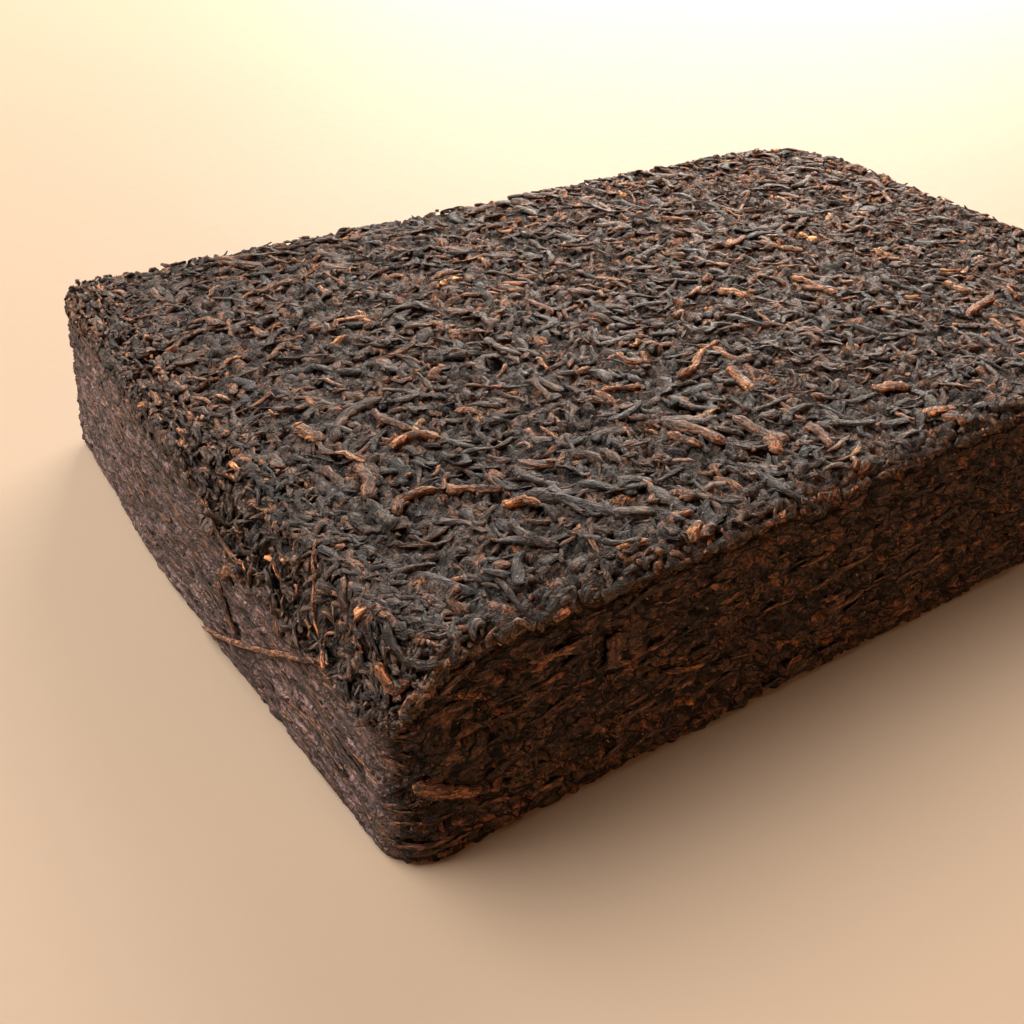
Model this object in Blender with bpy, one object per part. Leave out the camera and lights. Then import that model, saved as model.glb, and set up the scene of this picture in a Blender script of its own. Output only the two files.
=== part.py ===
"""A pressed pu erh tea brick: one solid block of compressed tea leaf.

The block lies flat on its base.  Its long side runs along X, its short side
along Y, and Z is up.  The origin is at the middle of the base.

The shape starts as a box cut into a grid that is finer towards its edges.
Each grid point is then moved by the features of a real brick: rounded plan
corners, leaning walls, pressed top edges, the worn shoulder along one short
end, the chip out of one top corner, and the relief of the pressed leaves.
"""

import math
import random

import bmesh
import bpy
from mathutils import Vector, noise

MM = 0.001

# Overall size of the pressed block
LENGTH = 140.0 * MM
WIDTH = 93.0 * MM
THICKNESS = 24.4 * MM
THICKNESS_GAIN = 0.4 * MM     # the brick is a little thicker at its +X end

# Plan corners: radius of each, by the signs of X and Y
CORNER_RADIUS = {
    (-1, -1): 4.6 * MM,
    (-1, 1): 4.5 * MM,
    (1, -1): 5.0 * MM,
    (1, 1): 20.0 * MM,
}

# Walls: how far each leans inwards over the full height
LEAN_FRONT = 1.4 * MM         # long side at -Y, at its -X end
LEAN_FRONT_GAIN = 1.6 * MM    # and how much more at its +X end
LEAN_BACK = 2.2 * MM
LEAN_LEFT = 0.3 * MM
LEAN_RIGHT = 2.6 * MM
FRONT_DRIFT = 1.7 * MM        # the front wall turns in by this much towards +X
BACK_DRIFT = 0.9 * MM         # and the back wall by this much
LEFT_BOW = 1.1 * MM           # the left end bows out from its front corner
LEFT_BOW_BACK = 1.9 * MM      # and draws in by this much to its back corner
LEFT_BOW_PEAK = 0.58          # where along the end, as a part of the width
FOOT_ROUND = 0.35 * MM         # the bottom edge turns in by this much
FOOT_HEIGHT = 1.6 * MM

# Pressed top edges
RIM_RADIUS = 2.8 * MM
RIM_DIP_DEPTH = 1.3 * MM      # a dip worn into the front rim
RIM_DIP_PLACE = 55.0 * MM     # measured from the -X end
RIM_DIP_SPREAD = 3.2 * MM

# The worn shoulder along the top of the -X end
SHOULDER_FOOT_LOW = 15.8 * MM     # height where it starts, near the front
SHOULDER_FOOT_HIGH = 22.6 * MM    # height where it starts, further back
SHOULDER_STEP = (31.0 * MM, 50.0 * MM)     # it changes between these places
SHOULDER_RUN_FRONT = 2.8 * MM     # how far it reaches in over the top
SHOULDER_RUN_BACK = 9.6 * MM
SHOULDER_SPREAD = (24.0 * MM, 58.0 * MM)

# The chip out of the top corner at -X, -Y: a sloping plane
CHIP_FOOT = 13.6 * MM         # its height at the corner
CHIP_RISE_X = 1.9             # height gained for each unit along X
CHIP_RISE_Y = 0.8             # and along Y

# Relief of the pressed leaf
LEAF_COUNT = 520
LEAF_LENGTH = (8.0 * MM, 17.0 * MM)
LEAF_WIDTH = (1.9 * MM, 3.2 * MM)
LEAF_HEIGHT = (0.5 * MM, 1.1 * MM)
PRESS_DEPTH = 1.0 * MM        # leaves are pressed level above this relief
WALL_RELIEF = 0.8 * MM
WALL_LAYER = 5.5 * MM         # spacing of the layers seen in the walls
CRUMB_RELIEF = 1.5 * MM
CRUMB_SIZE = 3.2 * MM

# Grid: distances of the grid lines from each wall, then an even pitch
EDGE_STOPS = [0.8 * MM, 1.9 * MM, 3.4 * MM, 5.6 * MM, 8.2 * MM]
GRID_PITCH = 2.7 * MM
WALL_LEVELS = [0.07, 0.18, 0.3, 0.42, 0.54, 0.66, 0.78, 0.9]

SEED = 7
TEA_COLOUR = (0.052, 0.034, 0.026, 1.0)
TEA_ROUGHNESS = 0.72


def clear_scene():
    """Take every object out of the file."""
    for thing in list(bpy.data.objects):
        bpy.data.objects.remove(thing, do_unlink=True)


def smooth(value):
    """Ease from 0 to 1, flat at both ends."""
    value = max(0.0, min(1.0, value))
    return value * value * (3.0 - 2.0 * value)


def blend(low, high, part):
    """The value that lies this part of the way from low to high."""
    return low + (high - low) * part


def ease_between(place, span):
    """0 before the span, 1 after it, eased in between."""
    return smooth((place - span[0]) / (span[1] - span[0]))


def grid_lines(size):
    """Where to cut one direction of the box: fine at its ends, even between."""
    half = size / 2.0
    inner = half - EDGE_STOPS[-1]
    count = round(2.0 * inner / GRID_PITCH)
    lines = [-half + stop for stop in EDGE_STOPS]
    lines += [-inner + 2.0 * inner * step / count for step in range(1, count)]
    lines += [half - stop for stop in reversed(EDGE_STOPS)]
    return lines


def cut_box():
    """A closed box on the ground, cut along all its grid lines."""
    box = bmesh.new()
    bmesh.ops.create_cube(box, size=1.0)
    bmesh.ops.scale(box, vec=(LENGTH, WIDTH, THICKNESS), verts=box.verts)
    bmesh.ops.translate(box, vec=(0.0, 0.0, THICKNESS / 2.0), verts=box.verts)
    cuts = [((place, 0.0, 0.0), (1.0, 0.0, 0.0)) for place in grid_lines(LENGTH)]
    cuts += [((0.0, place, 0.0), (0.0, 1.0, 0.0)) for place in grid_lines(WIDTH)]
    cuts += [((0.0, 0.0, level * THICKNESS), (0.0, 0.0, 1.0)) for level in WALL_LEVELS]
    for point, normal in cuts:
        whole = box.verts[:] + box.edges[:] + box.faces[:]
        bmesh.ops.bisect_plane(box, geom=whole, dist=1e-7, plane_co=point, plane_no=normal)
    return box


def round_corner(x, y):
    """Pull a plan point in from the box corner onto the rounded corner."""
    sign_x = 1 if x >= 0.0 else -1
    sign_y = 1 if y >= 0.0 else -1
    radius = CORNER_RADIUS[(sign_x, sign_y)]
    across = (abs(x) - (LENGTH / 2.0 - radius)) / radius
    along = (abs(y) - (WIDTH / 2.0 - radius)) / radius
    if across <= 0.0 or along <= 0.0:
        return x, y
    round_x = across * math.sqrt(1.0 - along * along / 2.0)
    round_y = along * math.sqrt(1.0 - across * across / 2.0)
    x = sign_x * (LENGTH / 2.0 - radius + round_x * radius)
    y = sign_y * (WIDTH / 2.0 - radius + round_y * radius)
    return x, y


def lean_walls(x, y, level):
    """Shift a plan point inwards as its wall leans, bows and turns in."""
    from_left = x / LENGTH + 0.5
    from_front = y / WIDTH + 0.5
    foot = FOOT_ROUND * (1.0 - smooth(level * THICKNESS / FOOT_HEIGHT))
    bow_part = from_front / LEFT_BOW_PEAK
    bow = LEFT_BOW
    if from_front > LEFT_BOW_PEAK:
        bow_part = (1.0 - from_front) / (1.0 - LEFT_BOW_PEAK)
        bow = LEFT_BOW_BACK
    left = foot + LEAN_LEFT * level + bow * (1.0 - smooth(bow_part))
    right = foot + LEAN_RIGHT * level
    front_lean = LEAN_FRONT + LEAN_FRONT_GAIN * from_left
    front = foot + front_lean * level + FRONT_DRIFT * from_left
    back = foot + LEAN_BACK * level + BACK_DRIFT * from_left
    x += left * (1.0 - from_left) - right * from_left
    y += front * (1.0 - from_front) - back * from_front
    return x, y


def edge_distance(x, y):
    """How far a plan point of the box is from its nearest wall."""
    return max(0.0, min(LENGTH / 2.0 - abs(x), WIDTH / 2.0 - abs(y)))


def rim_drop(distance):
    """How far the rounded rim lies below the top, this far from the wall."""
    reach = 1.0 - min(1.0, distance / RIM_RADIUS)
    return RIM_RADIUS * (1.0 - math.sqrt(1.0 - reach * reach))


def shoulder_height(from_left, from_front, top):
    """Height of the worn shoulder along the -X end."""
    step = ease_between(from_front, SHOULDER_STEP)
    spread = ease_between(from_front, SHOULDER_SPREAD)
    foot = blend(SHOULDER_FOOT_LOW, SHOULDER_FOOT_HIGH, step)
    run = blend(SHOULDER_RUN_FRONT, SHOULDER_RUN_BACK, spread)
    rise = math.sin(min(1.0, from_left / run) * math.pi / 2.0)
    return foot + (top - foot) * rise


def chip_height(from_left, from_front):
    """Height of the plane broken out of the near top corner."""
    return CHIP_FOOT + CHIP_RISE_X * from_left + CHIP_RISE_Y * from_front


def crumble(x, y, wear):
    """Rough lumps where the leaf has broken away, scaled by the wear."""
    place = Vector((x, y, 0.0)) / CRUMB_SIZE
    return CRUMB_RELIEF * wear * noise.noise(place)


def top_height(x, y, distance):
    """Height of the upper surface at a plan point, without the leaf relief."""
    from_left = x + LENGTH / 2.0
    from_front = y + WIDTH / 2.0
    top = THICKNESS + THICKNESS_GAIN * from_left / LENGTH
    dip = math.exp(-((from_left - RIM_DIP_PLACE) / RIM_DIP_SPREAD) ** 2)
    dip *= math.exp(-((from_front / RIM_DIP_SPREAD) ** 2))
    height = top - rim_drop(distance) - RIM_DIP_DEPTH * dip
    worn = min(
        height,
        shoulder_height(from_left, from_front, top),
        chip_height(from_left, from_front),
    )
    wear = smooth((top - worn) / (2.0 * RIM_RADIUS))
    return worn + crumble(x, y, wear)


def scatter_leaves(rng):
    """Random flat leaf lumps: centre, direction, half length, half width, height."""
    leaves = []
    for _ in range(LEAF_COUNT):
        centre = (rng.uniform(-0.5, 0.5) * LENGTH, rng.uniform(-0.5, 0.5) * WIDTH)
        angle = rng.uniform(0.0, math.pi)
        half_length = rng.uniform(*LEAF_LENGTH) / 2.0
        half_width = rng.uniform(*LEAF_WIDTH) / 2.0
        leaves.append((centre, angle, half_length, half_width, rng.uniform(*LEAF_HEIGHT)))
    return leaves


def leaf_relief(x, y, leaves):
    """Height of the leaves lying over a point, pressed level at the top."""
    height = 0.0
    for centre, angle, half_length, half_width, lump in leaves:
        dx = x - centre[0]
        dy = y - centre[1]
        if abs(dx) > half_length * 2.0 or abs(dy) > half_length * 2.0:
            continue
        along = (dx * math.cos(angle) + dy * math.sin(angle)) / half_length
        across = (dy * math.cos(angle) - dx * math.sin(angle)) / half_width
        height += lump * math.exp(-along ** 4 - across ** 2)
    return min(height, PRESS_DEPTH)


def wall_relief(x, y, z):
    """In and out of the walls: long flat layers with finer lumps over them."""
    layers = noise.noise(Vector((x, y, z * 3.2)) / (2.0 * WALL_LAYER))
    lumps = noise.noise(Vector((x + LENGTH, y, z * 1.6)) / WALL_LAYER)
    return WALL_RELIEF * (layers + 0.8 * lumps)


def wall_normal(x, y):
    """Outward direction in plan at a point of the box's wall."""
    out_x = 0.0
    out_y = 0.0
    if LENGTH / 2.0 - abs(x) < 1e-6:
        out_x = math.copysign(1.0, x)
    if WIDTH / 2.0 - abs(y) < 1e-6:
        out_y = math.copysign(1.0, y)
    return Vector((out_x, out_y, 0.0))


def shape_point(point, leaves):
    """Move one grid point of the box to its place on the brick."""
    level = point.z / THICKNESS
    distance = edge_distance(point.x, point.y)
    x, y = round_corner(point.x, point.y)
    height = top_height(x, y, distance)
    moved_x, moved_y = lean_walls(x, y, level)
    if level > 1.0 - 1e-4:
        relief = leaf_relief(x, y, leaves) - PRESS_DEPTH
        return Vector((moved_x, moved_y, height + relief))
    place = Vector((moved_x, moved_y, level * height))
    outward = wall_normal(point.x, point.y)
    if outward.length > 0.0:
        place += outward.normalized() * wall_relief(*place)
    return place


def join_base(box):
    """Turn the flat base, which needs no grid, into one face."""
    base = [face for face in box.faces if max(vertex.co.z for vertex in face.verts) < 1e-9]
    bmesh.ops.dissolve_faces(box, faces=base, use_verts=True)


def shape_brick(box):
    """Give every grid point its place, then centre the plan on the origin."""
    leaves = scatter_leaves(random.Random(SEED))
    for vertex in box.verts:
        vertex.co = shape_point(vertex.co.copy(), leaves)
    xs = [vertex.co.x for vertex in box.verts]
    ys = [vertex.co.y for vertex in box.verts]
    middle = Vector(((min(xs) + max(xs)) / 2.0, (min(ys) + max(ys)) / 2.0, 0.0))
    bmesh.ops.translate(box, vec=-middle, verts=box.verts)
    join_base(box)
    bmesh.ops.triangulate(box, faces=box.faces)
    bmesh.ops.recalc_face_normals(box, faces=box.faces)


def tea_material():
    """Dark brown pressed tea leaf."""
    material = bpy.data.materials.new("pressed_tea")
    material.use_nodes = True
    shader = material.node_tree.nodes["Principled BSDF"]
    shader.inputs["Base Color"].default_value = TEA_COLOUR
    shader.inputs["Roughness"].default_value = TEA_ROUGHNESS
    shader.inputs["Metallic"].default_value = 0.0
    material.diffuse_color = TEA_COLOUR
    return material


def build_tea_brick():
    """The whole brick, as one closed object."""
    box = cut_box()
    shape_brick(box)
    mesh = bpy.data.meshes.new("tea_brick")
    box.to_mesh(mesh)
    box.free()
    mesh.materials.append(tea_material())
    mesh.shade_smooth()
    mesh.set_sharp_from_angle(angle=math.radians(32.0))
    brick = bpy.data.objects.new("tea_brick", mesh)
    bpy.context.scene.collection.objects.link(brick)
    return brick


clear_scene()
build_tea_brick()
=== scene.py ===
"""The looks of a pressed pu erh tea brick.

Lengths are in millimetres until a mesh is made.  The skin is the shape that the CAD part has: a
leaning, rounded block with a worn shoulder at its -X end and a chip out of one top corner.  On it lie
a slab of pressed leaf for the top, a band of layered leaf for the walls, and strands, stems and
crumbs pressed into both.
"""

import math

import bpy
import numpy as np
from mathutils import Matrix, Vector


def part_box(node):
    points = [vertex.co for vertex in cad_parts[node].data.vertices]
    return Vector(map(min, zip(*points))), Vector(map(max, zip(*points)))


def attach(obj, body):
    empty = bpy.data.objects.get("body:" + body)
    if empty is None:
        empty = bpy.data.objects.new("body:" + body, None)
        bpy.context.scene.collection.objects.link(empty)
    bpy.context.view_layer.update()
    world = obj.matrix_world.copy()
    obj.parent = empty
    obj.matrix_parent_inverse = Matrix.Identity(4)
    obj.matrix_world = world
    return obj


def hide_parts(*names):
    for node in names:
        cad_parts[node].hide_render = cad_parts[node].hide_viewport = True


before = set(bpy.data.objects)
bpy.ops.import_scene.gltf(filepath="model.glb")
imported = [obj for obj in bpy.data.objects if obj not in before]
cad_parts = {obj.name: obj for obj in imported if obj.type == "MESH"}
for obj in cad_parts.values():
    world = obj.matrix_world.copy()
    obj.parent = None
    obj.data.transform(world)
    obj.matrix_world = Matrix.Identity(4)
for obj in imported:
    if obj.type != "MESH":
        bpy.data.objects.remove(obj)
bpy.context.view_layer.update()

scene = bpy.context.scene
MM = 0.001
low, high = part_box("tea_brick")

# The block, as the CAD part states it
WALL_ROOM_X = 0.348           # how far the wall relief stands out of the plain block
WALL_ROOM_Y = 0.349
CENTRING = np.array([0.130, 0.010, 0.0])     # shift from the plain block to the part's own origin
LENGTH = (high.x - low.x) / MM - 2.0 * WALL_ROOM_X
WIDTH = (high.y - low.y) / MM - 2.0 * WALL_ROOM_Y
THICKNESS_GAIN = 0.4
THICKNESS = high.z / MM - THICKNESS_GAIN
CORNER_RADIUS = {(-1, -1): 4.6, (-1, 1): 4.5, (1, -1): 5.0, (1, 1): 20.0}
LEAN_FRONT = 1.4
LEAN_FRONT_GAIN = 1.6
LEAN_BACK = 2.2
LEAN_LEFT = 0.3
LEAN_RIGHT = 2.6
FRONT_DRIFT = 1.7
BACK_DRIFT = 0.9
LEFT_BOW = 1.1
LEFT_BOW_BACK = 1.9
LEFT_BOW_PEAK = 0.58
FOOT_ROUND = 0.35
FOOT_HEIGHT = 1.6
RIM_RADIUS = 2.8
RIM_DIP_DEPTH = 1.3
RIM_DIP_PLACE = 55.0
RIM_DIP_SPREAD = 3.2
SHOULDER_FOOT_LOW = 15.8
SHOULDER_FOOT_HIGH = 22.6
SHOULDER_STEP = (31.0, 50.0)
SHOULDER_RUN_FRONT = 2.8
SHOULDER_RUN_BACK = 9.6
SHOULDER_SPREAD = (24.0, 58.0)
CHIP_FOOT = 13.6
CHIP_RISE_X = 1.9
CHIP_RISE_Y = 0.8
CRUMB_RELIEF = 1.5
CRUMB_SIZE = 3.2

# Unrolled top: flat coordinates that run on over the rims and down the walls
UNROLL = RIM_RADIUS * (math.pi / 2.0 - 1.0)
REACH_X = LENGTH / 2.0 + UNROLL
REACH_Y = WIDTH / 2.0 + UNROLL


# ---- small maths

def smooth(value):
    """Ease from 0 to 1, flat at both ends."""
    value = np.clip(value, 0.0, 1.0)
    return value * value * (3.0 - 2.0 * value)


def blend(first, second, part):
    """The value that lies this part of the way from first to second."""
    return first + (second - first) * part


def ease_between(place, span):
    """0 before the span, 1 after it, eased in between."""
    return smooth((place - span[0]) / (span[1] - span[0]))


def unit(vectors):
    """Vectors made one long."""
    size = np.linalg.norm(vectors, axis=-1, keepdims=True)
    return vectors / np.maximum(size, 1e-9)


def columns_of(*values):
    """Values laid side by side along a new last axis."""
    return np.stack(np.broadcast_arrays(*values), axis=-1)


def lattice_angle(column, row, seed):
    """A random direction for each point of a whole-number grid."""
    mixed = (column * 374761393 + row * 668265263 + seed * 974634777) & 0x7FFFFFFF
    mixed = ((mixed ^ (mixed >> 13)) * 1274126177) & 0x7FFFFFFF
    mixed = mixed ^ (mixed >> 16)
    return (mixed & 0xFFFF) * (2.0 * math.pi / 65536.0)


def ripple(x, y, seed):
    """Smooth random height, about -1 to 1, with lumps one unit across."""
    x, y = np.broadcast_arrays(np.asarray(x, float), np.asarray(y, float))
    column = np.floor(x).astype(np.int64)
    row = np.floor(y).astype(np.int64)
    part_x = x - column
    part_y = y - row

    def slope(step_x, step_y):
        angle = lattice_angle(column + step_x, row + step_y, seed)
        return np.cos(angle) * (part_x - step_x) + np.sin(angle) * (part_y - step_y)

    ease_x = part_x ** 3 * (part_x * (part_x * 6.0 - 15.0) + 10.0)
    ease_y = part_y ** 3 * (part_y * (part_y * 6.0 - 15.0) + 10.0)
    near = blend(slope(0, 0), slope(1, 0), ease_x)
    far = blend(slope(0, 1), slope(1, 1), ease_x)
    return 1.5 * blend(near, far, ease_y)


def rough(x, y, seed, octaves=3):
    """Ripples of several sizes added up, each half the size of the one before."""
    total = 0.0
    for octave in range(octaves):
        size = 2.0 ** octave
        total = total + ripple(x * size, y * size, seed + 17 * octave) / size
    return total


# ---- skin of the brick

def round_corner(x, y):
    """Plan points pulled in from the box corners onto the rounded corners."""
    out_x, out_y = np.array(x, float), np.array(y, float)
    for (sign_x, sign_y), radius in CORNER_RADIUS.items():
        middle_x, middle_y = LENGTH / 2.0 - radius, WIDTH / 2.0 - radius
        across = (x * sign_x - middle_x) / radius
        along = (y * sign_y - middle_y) / radius
        inside = (across > 0.0) & (along > 0.0)
        across = np.clip(across, 0.0, 1.0)
        along = np.clip(along, 0.0, 1.0)
        round_x = across * np.sqrt(1.0 - along * along / 2.0)
        round_y = along * np.sqrt(1.0 - across * across / 2.0)
        out_x = np.where(inside, sign_x * (middle_x + round_x * radius), out_x)
        out_y = np.where(inside, sign_y * (middle_y + round_y * radius), out_y)
    return out_x, out_y


def lean_walls(x, y, level):
    """Plan points shifted inwards as the walls lean, bow and turn in."""
    from_left = x / LENGTH + 0.5
    from_front = y / WIDTH + 0.5
    foot = FOOT_ROUND * (1.0 - smooth(level * THICKNESS / FOOT_HEIGHT))
    bow_part = np.minimum(from_front / LEFT_BOW_PEAK, (1.0 - from_front) / (1.0 - LEFT_BOW_PEAK))
    bow = np.where(from_front > LEFT_BOW_PEAK, LEFT_BOW_BACK, LEFT_BOW)
    left = foot + LEAN_LEFT * level + bow * (1.0 - smooth(bow_part))
    right = foot + LEAN_RIGHT * level
    front_lean = LEAN_FRONT + LEAN_FRONT_GAIN * from_left
    front = foot + front_lean * level + FRONT_DRIFT * from_left
    back = foot + LEAN_BACK * level + BACK_DRIFT * from_left
    x = x + left * (1.0 - from_left) - right * from_left
    return x, y + front * (1.0 - from_front) - back * from_front


def top_height(x, y, distance):
    """Height of the upper skin at plan points, and how worn it is there."""
    from_left = x + LENGTH / 2.0
    from_front = y + WIDTH / 2.0
    top = THICKNESS + THICKNESS_GAIN * from_left / LENGTH
    reach = 1.0 - np.clip(distance / RIM_RADIUS, 0.0, 1.0)
    rim = RIM_RADIUS * (1.0 - np.sqrt(1.0 - reach * reach))
    dip = np.exp(-((from_left - RIM_DIP_PLACE) / RIM_DIP_SPREAD) ** 2)
    dip = dip * np.exp(-((from_front / RIM_DIP_SPREAD) ** 2))
    height = top - rim - RIM_DIP_DEPTH * dip
    step = ease_between(from_front, SHOULDER_STEP)
    spread = ease_between(from_front, SHOULDER_SPREAD)
    foot = blend(SHOULDER_FOOT_LOW, SHOULDER_FOOT_HIGH, step)
    run = blend(SHOULDER_RUN_FRONT, SHOULDER_RUN_BACK, spread)
    rise = np.sin(np.clip(from_left / run, 0.0, 1.0) * math.pi / 2.0)
    shoulder = foot + (top - foot) * rise
    chip = CHIP_FOOT + CHIP_RISE_X * from_left + CHIP_RISE_Y * from_front
    worn = np.minimum(height, np.minimum(shoulder, chip))
    wear = smooth((top - worn) / (2.0 * RIM_RADIUS))
    torn = smooth((height - worn) / 0.8)
    lumps = ripple(x / CRUMB_SIZE, y / CRUMB_SIZE, 5)
    return worn + 0.6 * CRUMB_RELIEF * wear * lumps, torn


def inset_on_rim(arc):
    """For a distance along the skin from where a wall starts: how far in, and how far down the wall."""
    quarter = RIM_RADIUS * math.pi / 2.0
    curve = RIM_RADIUS * (1.0 - np.cos(np.clip(arc, 0.0, quarter) / RIM_RADIUS))
    inset = np.where(arc > quarter, RIM_RADIUS + arc - quarter, curve)
    return inset, np.maximum(0.0, -arc)


def skin(p, q):
    """Points of the skin, and their wear, for unrolled coordinates p along X and q along Y."""
    inset_x, below_x = inset_on_rim(REACH_X - np.abs(p))
    inset_y, below_y = inset_on_rim(REACH_Y - np.abs(q))
    box_x = np.sign(p) * (LENGTH / 2.0 - inset_x)
    box_y = np.sign(q) * (WIDTH / 2.0 - inset_y)
    x, y = round_corner(box_x, box_y)
    top, torn = top_height(x, y, np.minimum(inset_x, inset_y))
    z = np.maximum(0.3, top - np.maximum(below_x, below_y))
    x, y = lean_walls(x, y, z / top)
    return columns_of(x, y, z) + CENTRING, torn


def skin_frame(p, q):
    """Points of the skin with their outward directions and wear."""
    step = 0.25
    place, torn = skin(p, q)
    slope_p = skin(p + step, q)[0] - skin(p - step, q)[0]
    slope_q = skin(p, q + step)[0] - skin(p, q - step)[0]
    return place, unit(np.cross(slope_p, slope_q)), torn


SIDES = [LENGTH, WIDTH, LENGTH, WIDTH]
TURNS = np.cumsum([0.0] + SIDES)
ROUND_TRIP = TURNS[-1]


def outline(s):
    """Box plan point at a distance s round the walls: front, right, back, then left."""
    s = np.mod(s, ROUND_TRIP)
    half_x, half_y = LENGTH / 2.0, WIDTH / 2.0
    x = np.interp(s, TURNS, [-half_x, half_x, half_x, -half_x, -half_x])
    y = np.interp(s, TURNS, [-half_y, -half_y, half_y, half_y, -half_y])
    return round_corner(x, y)


def wall_top(s):
    """Height where the wall ends and the rim starts."""
    x, y = outline(s)
    return top_height(x, y, np.zeros_like(x))[0]


def wall_place(s, z):
    """Points of the wall skin at a distance s round it and a height z."""
    x, y = outline(s)
    top = wall_top(s)
    x, y = lean_walls(x, y, np.clip(z / top, 0.0, 1.0))
    return columns_of(x, y, z) + CENTRING


def wall_frame(s, z):
    """Points of the wall skin with their outward directions, which stay level."""
    step = 0.9
    along = wall_place(s + step, z) - wall_place(s - step, z)
    out = unit(columns_of(along[..., 1], -along[..., 0], 0.0))
    return wall_place(s, z), out


# ---- meshes

def add_to_scene(name, data):
    """An object for a mesh, a light or a camera."""
    added = bpy.data.objects.new(name, data)
    scene.collection.objects.link(added)
    return added


def make_mesh(name, points, quads, caps, corners, finish, tones):
    """One closed mesh piece, in metres, with its bake map, its tone values and its finish."""
    sizes = np.concatenate([np.full(len(quads), 4), [len(cap) for cap in caps]]).astype(np.int32)
    loops = np.concatenate([quads.ravel(), *caps]).astype(np.int32)
    starts = (np.cumsum(sizes) - sizes).astype(np.int32)
    mesh = bpy.data.meshes.new(name)
    mesh.vertices.add(len(points))
    mesh.vertices.foreach_set("co", (points * MM).astype(np.float32).ravel())
    mesh.loops.add(len(loops))
    mesh.loops.foreach_set("vertex_index", loops)
    mesh.polygons.add(len(sizes))
    mesh.polygons.foreach_set("loop_start", starts)
    mesh.update(calc_edges=True)
    mesh.validate()
    bake = mesh.uv_layers.new(name="OFBake")
    bake.uv.foreach_set("vector", corners.astype(np.float32).ravel())
    for tone, values in tones.items():
        kind, field = ("FLOAT_VECTOR", "vector") if values.ndim == 2 else ("FLOAT", "value")
        layer = mesh.attributes.new(tone, kind, "POINT")
        layer.data.foreach_set(field, values.astype(np.float32).ravel())
    mesh.shade_smooth()
    mesh.materials.append(finish)
    piece = add_to_scene(name, mesh)
    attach(piece, "root")
    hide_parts("tea_brick")
    return piece


def sweep_strands(place, out, half_width, half_thick, roll, ridges, ceiling):
    """Skins of many strands: a ridged oval carried along each path, flattened under its ceiling."""
    sides = ridges.shape[2]
    along = unit(np.gradient(place, axis=1))
    side = unit(np.cross(out, along))
    up = np.cross(along, side)
    angle = np.arange(sides) * 2.0 * math.pi / sides
    wide = half_width[..., None] * np.cos(angle) * ridges
    thick = half_thick[..., None] * np.sin(angle) * ridges
    turn_cos, turn_sin = np.cos(roll)[..., None], np.sin(roll)[..., None]
    across = wide * turn_cos - thick * turn_sin
    lift = wide * turn_sin + thick * turn_cos
    soft = 0.18
    over = lift - (ceiling[..., None] - soft)
    eased = ceiling[..., None] - soft * np.exp(-np.maximum(over, 0.0) / soft)
    lift = np.where(over > 0.0, eased, lift)
    return place[:, :, None] + side[:, :, None] * across[..., None] + up[:, :, None] * lift[..., None]


def strand_faces(count, rings, sides):
    """Side quads and end caps for strands whose points run by strand, ring and side."""
    number = np.arange(count * rings * sides).reshape(count, rings, sides)
    after = np.roll(number, -1, axis=2)
    quads = columns_of(number[:, :-1], after[:, :-1], after[:, 1:], number[:, 1:])
    return quads.reshape(-1, 4), [*number[:, 0, ::-1], *number[:, -1]]


def strand_bake_map(count, rings, sides):
    """Bake map corners: each strand has a small rectangle of its own, with its caps at its ends."""
    columns = max(1, int(round(math.sqrt(count / 2.4))))
    rows = int(math.ceil(count / columns))
    number = np.arange(count)
    left = (number % columns) / columns
    bottom = (number // columns) / rows
    wide, tall = 0.94 / columns, 0.88 / rows
    ends = 0.09
    ring = ends + (1.0 - 2.0 * ends) * np.arange(rings) / (rings - 1)
    side = np.arange(sides + 1) / sides
    grid = columns_of(left[:, None, None] + wide * ring[:, None], bottom[:, None, None] + tall * side)
    quads = np.stack([grid[:, :-1, :-1], grid[:, :-1, 1:], grid[:, 1:, 1:], grid[:, 1:, :-1]], axis=3)
    angle = np.arange(sides) * 2.0 * math.pi / sides
    disc_u = 0.4 * ends * wide * np.cos(angle)
    disc_v = 0.4 * tall * np.sin(angle)
    caps = []
    for end, order in ((0.45 * ends, -1), (1.0 - 0.45 * ends, 1)):
        cap_u = left[:, None] + wide * end + disc_u[None, ::order]
        cap_v = bottom[:, None] + 0.45 * tall + disc_v[None, ::order]
        caps.append(columns_of(cap_u, cap_v).reshape(-1, 2))
    return np.concatenate([quads.reshape(-1, 2)] + caps)


def make_strands(
    name, finish, rng, place, out, half_width, half_thick, roll, ceiling, sides, warmth, light
):
    """One piece that holds every strand of a kind."""
    count, rings = half_width.shape
    ridges = 1.0 + 0.24 * rng.uniform(-1.0, 1.0, (count, 1, sides))
    ridges = ridges + 0.22 * rng.uniform(-1.0, 1.0, (count, rings, sides))
    points = sweep_strands(place, out, half_width, half_thick, roll, ridges, ceiling)
    quads, caps = strand_faces(count, rings, sides)
    length = np.linalg.norm(np.diff(place, axis=1), axis=-1)
    along = np.concatenate([np.zeros((count, 1)), np.cumsum(length, axis=1)], axis=1)
    angle = np.arange(sides) * 2.0 * math.pi / sides
    own = rng.uniform(0.0, 400.0, (count, 1, 1))
    reach = half_width[..., None]
    grain_across = reach * np.cos(angle) + own * 0.37
    grain_up = reach * np.sin(angle) + own * 0.71
    grain = columns_of(along[..., None] + own, grain_across, grain_up)
    each = rings * sides
    tones = {"warmth": np.repeat(warmth, each), "light": np.repeat(light, each)}
    tones["grain"] = grain.reshape(-1, 3)
    corners = strand_bake_map(count, rings, sides)
    return make_mesh(name, points.reshape(-1, 3), quads, caps, corners, finish, tones)


# ---- finishes

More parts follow.
